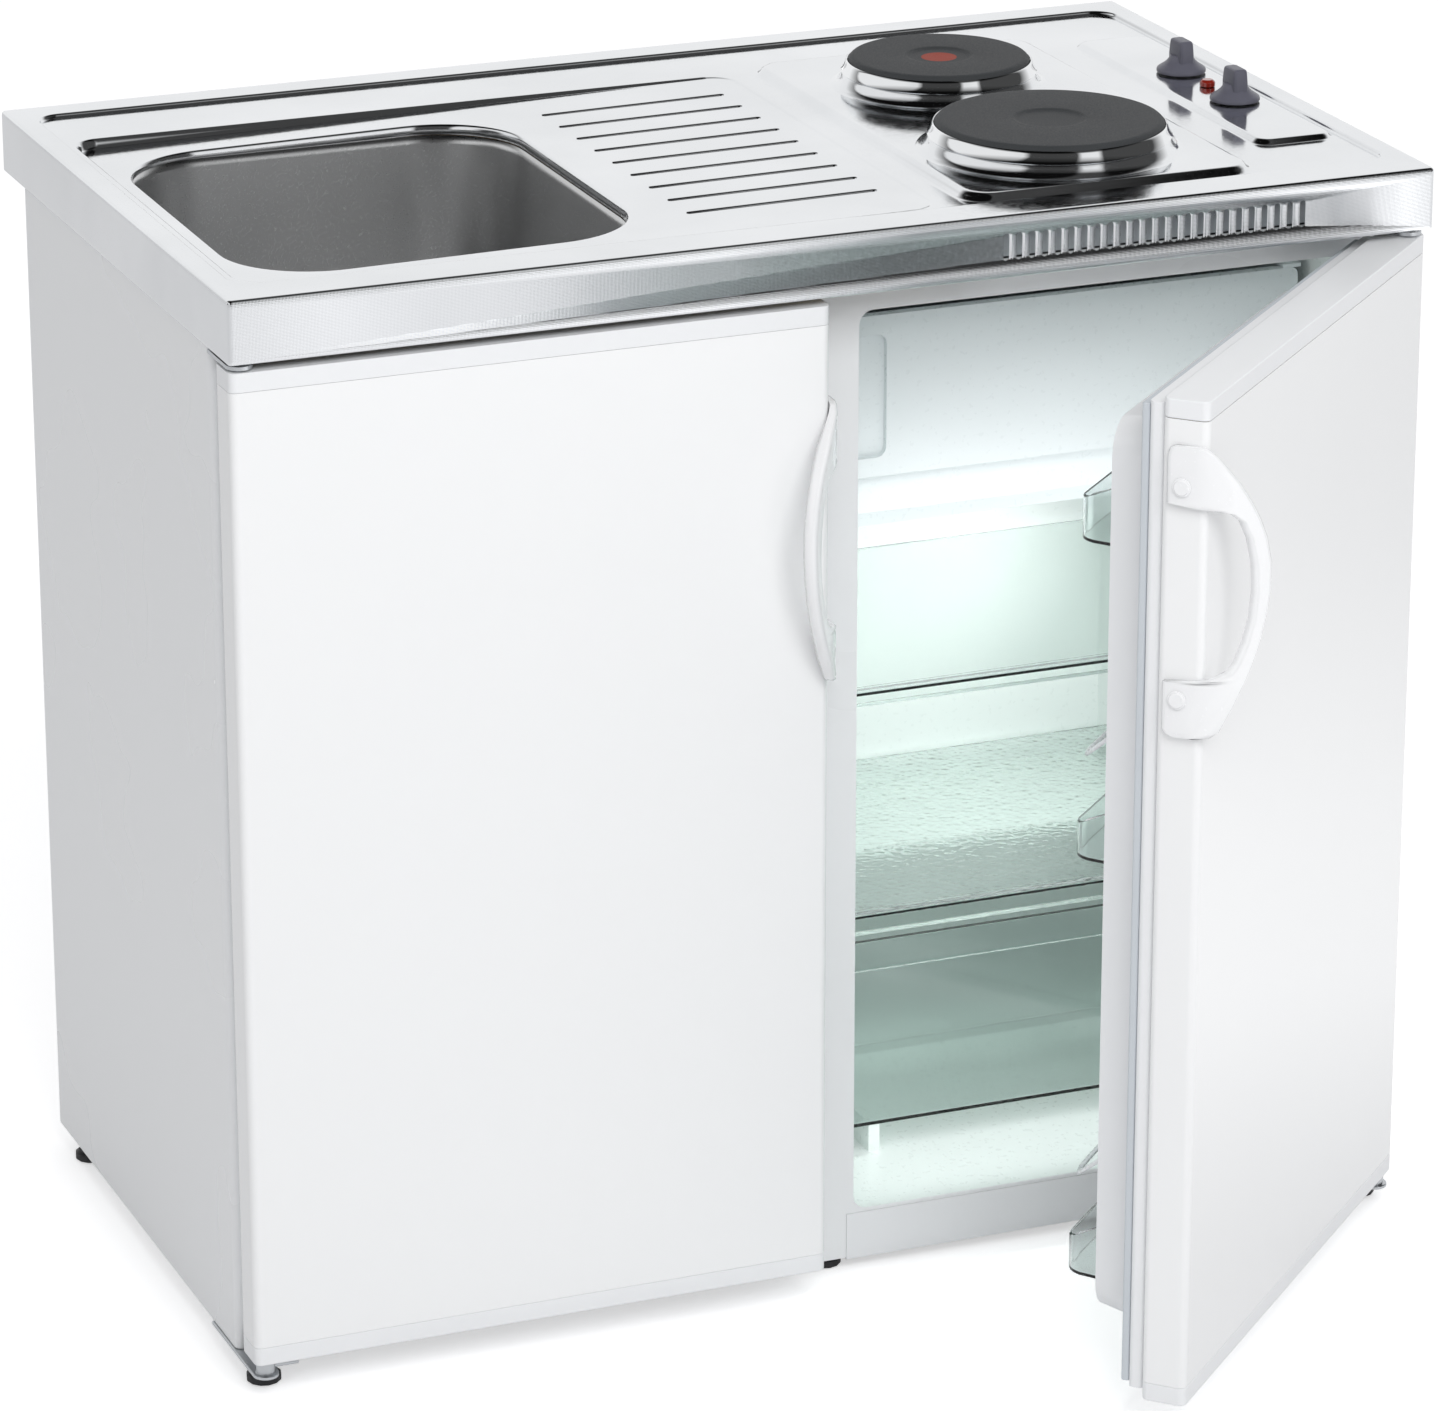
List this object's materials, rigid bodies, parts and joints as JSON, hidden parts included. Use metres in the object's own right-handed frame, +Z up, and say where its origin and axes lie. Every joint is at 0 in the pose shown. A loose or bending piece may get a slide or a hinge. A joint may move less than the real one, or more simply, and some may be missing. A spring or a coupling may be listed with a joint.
{
  "type": "kitchenette unit",
  "caption": "Compact kitchen unit: pressed steel worktop with sink, drainer and hotplates over a cupboard and a built-in refrigerator, with hinged white doors.",
  "frame": {"origin": "on the floor below the middle of the worktop", "axes": "+X to the right along the worktop, -Y out of the fronts, +Z up"},
  "size_m": [1, 0.9462, 0.924],
  "materials": {
    "worktop_steel": "polished",
    "bowl_steel": "satin",
    "chrome": "polished",
    "cast_iron": "matte",
    "white_steel": "satin",
    "white_plastic": "satin",
    "gloss_white": "gloss",
    "liner_plastic": "satin",
    "foam": "matte",
    "board": "matte",
    "zinc": "satin",
    "black_metal": "satin",
    "black_plastic": "satin",
    "grey_plastic": "satin",
    "knob_plastic": "satin",
    "red_lens": "gloss",
    "shelf_glass": "gloss",
    "clear_plastic": "gloss",
    "gasket_rubber": "matte",
    "coated_wire": "gloss"
  },
  "bodies": {
    "cabinet": {"worktop": "worktop_steel", "sink_bowl": "bowl_steel", "waste_outlet": "chrome", "waste_trap": "white_plastic", "hotplate_small": "cast_iron", "hotplate_large": "cast_iron", "spill_ring_small": "chrome", "spill_ring_large": "chrome", "hob_switch_rear": "black_plastic", "hob_switch_front": "black_plastic", "indicator_lamp": "red_lens", "stiffening_board": "board", "side_panel_left": "white_steel", "cupboard_floor": "white_steel", "cupboard_back": "white_steel", "centre_post": "white_steel", "top_frame": "zinc", "lower_hinge_left": "zinc", "lower_hinge_right": "zinc", "foot_front_left": "black_plastic", "foot_front_right": "black_plastic", "foot_front_middle": "black_plastic", "foot_back_left": "black_plastic", "foot_back_right": "black_plastic", "fridge_case": "white_steel", "fridge_liner": "liner_plastic", "fridge_insulation": "foam", "kick_strip": "white_plastic", "condenser": "black_metal", "compressor": "black_metal", "terminal_box": "black_plastic", "freezer_compartment": "white_plastic", "thermostat_housing": "white_plastic"},
    "sink_plug": {"sink_plug": "chrome"},
    "knob_rear": {"hob_knob_rear": "knob_plastic"},
    "knob_front": {"hob_knob_front": "knob_plastic"},
    "cupboard_door": {"cupboard_door_panel": "white_steel", "cupboard_door_cap_top": "white_plastic", "cupboard_door_cap_bottom": "white_plastic", "cupboard_door_inner_panel": "white_plastic", "cupboard_door_handle": "gloss_white"},
    "fridge_door": {"fridge_door_panel": "white_steel", "fridge_door_foam": "foam", "fridge_door_cap_top": "white_plastic", "fridge_door_cap_bottom": "white_plastic", "fridge_door_liner": "liner_plastic", "fridge_door_gasket": "gasket_rubber", "fridge_door_handle": "gloss_white", "fridge_handle_screw_upper": "gloss_white", "fridge_handle_screw_lower": "gloss_white", "bottle_wire_upper": "coated_wire", "bottle_wire_lower": "coated_wire"},
    "rack_upper": {"door_rack_upper": "clear_plastic"},
    "rack_middle": {"door_rack_middle": "clear_plastic"},
    "rack_lower": {"door_rack_lower": "clear_plastic"},
    "flap": {"freezer_flap": "liner_plastic"},
    "shelf_upper": {"glass_shelf_upper": "shelf_glass"},
    "shelf_lower": {"glass_shelf_lower": "shelf_glass"},
    "crisper": {"crisper_drawer": "clear_plastic"},
    "dial": {"thermostat_dial": "grey_plastic"}
  },
  "joints": [
    {"name": "cupboard_door_hinge", "type": "hinge", "parent": "cabinet", "child": "cupboard_door", "pos_m": [-0.489, -0.289, 0.4345], "axis": [0, 0, -1], "range_deg": [0, 110]},
    {"name": "fridge_door_hinge", "type": "hinge", "parent": "cabinet", "child": "fridge_door", "pos_m": [0.4834, -0.289, 0.4345], "axis": [0, 0, 1], "range_deg": [-44, 66]},
    {"name": "hob_knob_rear_turn", "type": "hinge", "parent": "cabinet", "child": "knob_rear", "pos_m": [0.444, 0.046, 0.897], "axis": [0, 0, -1], "range_deg": [0, 290]},
    {"name": "hob_knob_front_turn", "type": "hinge", "parent": "cabinet", "child": "knob_front", "pos_m": [0.444, -0.055, 0.897], "axis": [0, 0, -1], "range_deg": [0, 290]},
    {"name": "thermostat_dial_turn", "type": "hinge", "parent": "cabinet", "child": "dial", "pos_m": [0.43, -0.03, 0.544], "axis": [-1, 0, 0], "range_deg": [0, 300]},
    {"name": "freezer_flap_hinge", "type": "hinge", "parent": "cabinet", "child": "flap", "pos_m": [0.448, -0.1555, 0.715], "axis": [0, 0, 1], "range_deg": [0, 36]},
    {"name": "glass_shelf_upper_pull", "type": "slide", "parent": "cabinet", "child": "shelf_upper", "axis": [0, -1, 0], "range_m": [0, 0.06]},
    {"name": "glass_shelf_lower_pull", "type": "slide", "parent": "cabinet", "child": "shelf_lower", "axis": [0, -1, 0], "range_m": [0, 0.06]},
    {"name": "crisper_pull", "type": "slide", "parent": "cabinet", "child": "crisper", "axis": [0, -1, 0], "range_m": [0, 0.06]},
    {"name": "door_rack_upper_lift", "type": "slide", "parent": "fridge_door", "child": "rack_upper", "axis": [0, 0, 1], "range_m": [0, 0.02]},
    {"name": "door_rack_middle_lift", "type": "slide", "parent": "fridge_door", "child": "rack_middle", "axis": [0, 0, 1], "range_m": [0, 0.02]},
    {"name": "door_rack_lower_lift", "type": "slide", "parent": "fridge_door", "child": "rack_lower", "axis": [0, 0, 1], "range_m": [0, 0.02]},
    {"name": "sink_plug_lift", "type": "slide", "parent": "cabinet", "child": "sink_plug", "axis": [0, 0, 1], "range_m": [0, 0.1]}
  ]
}
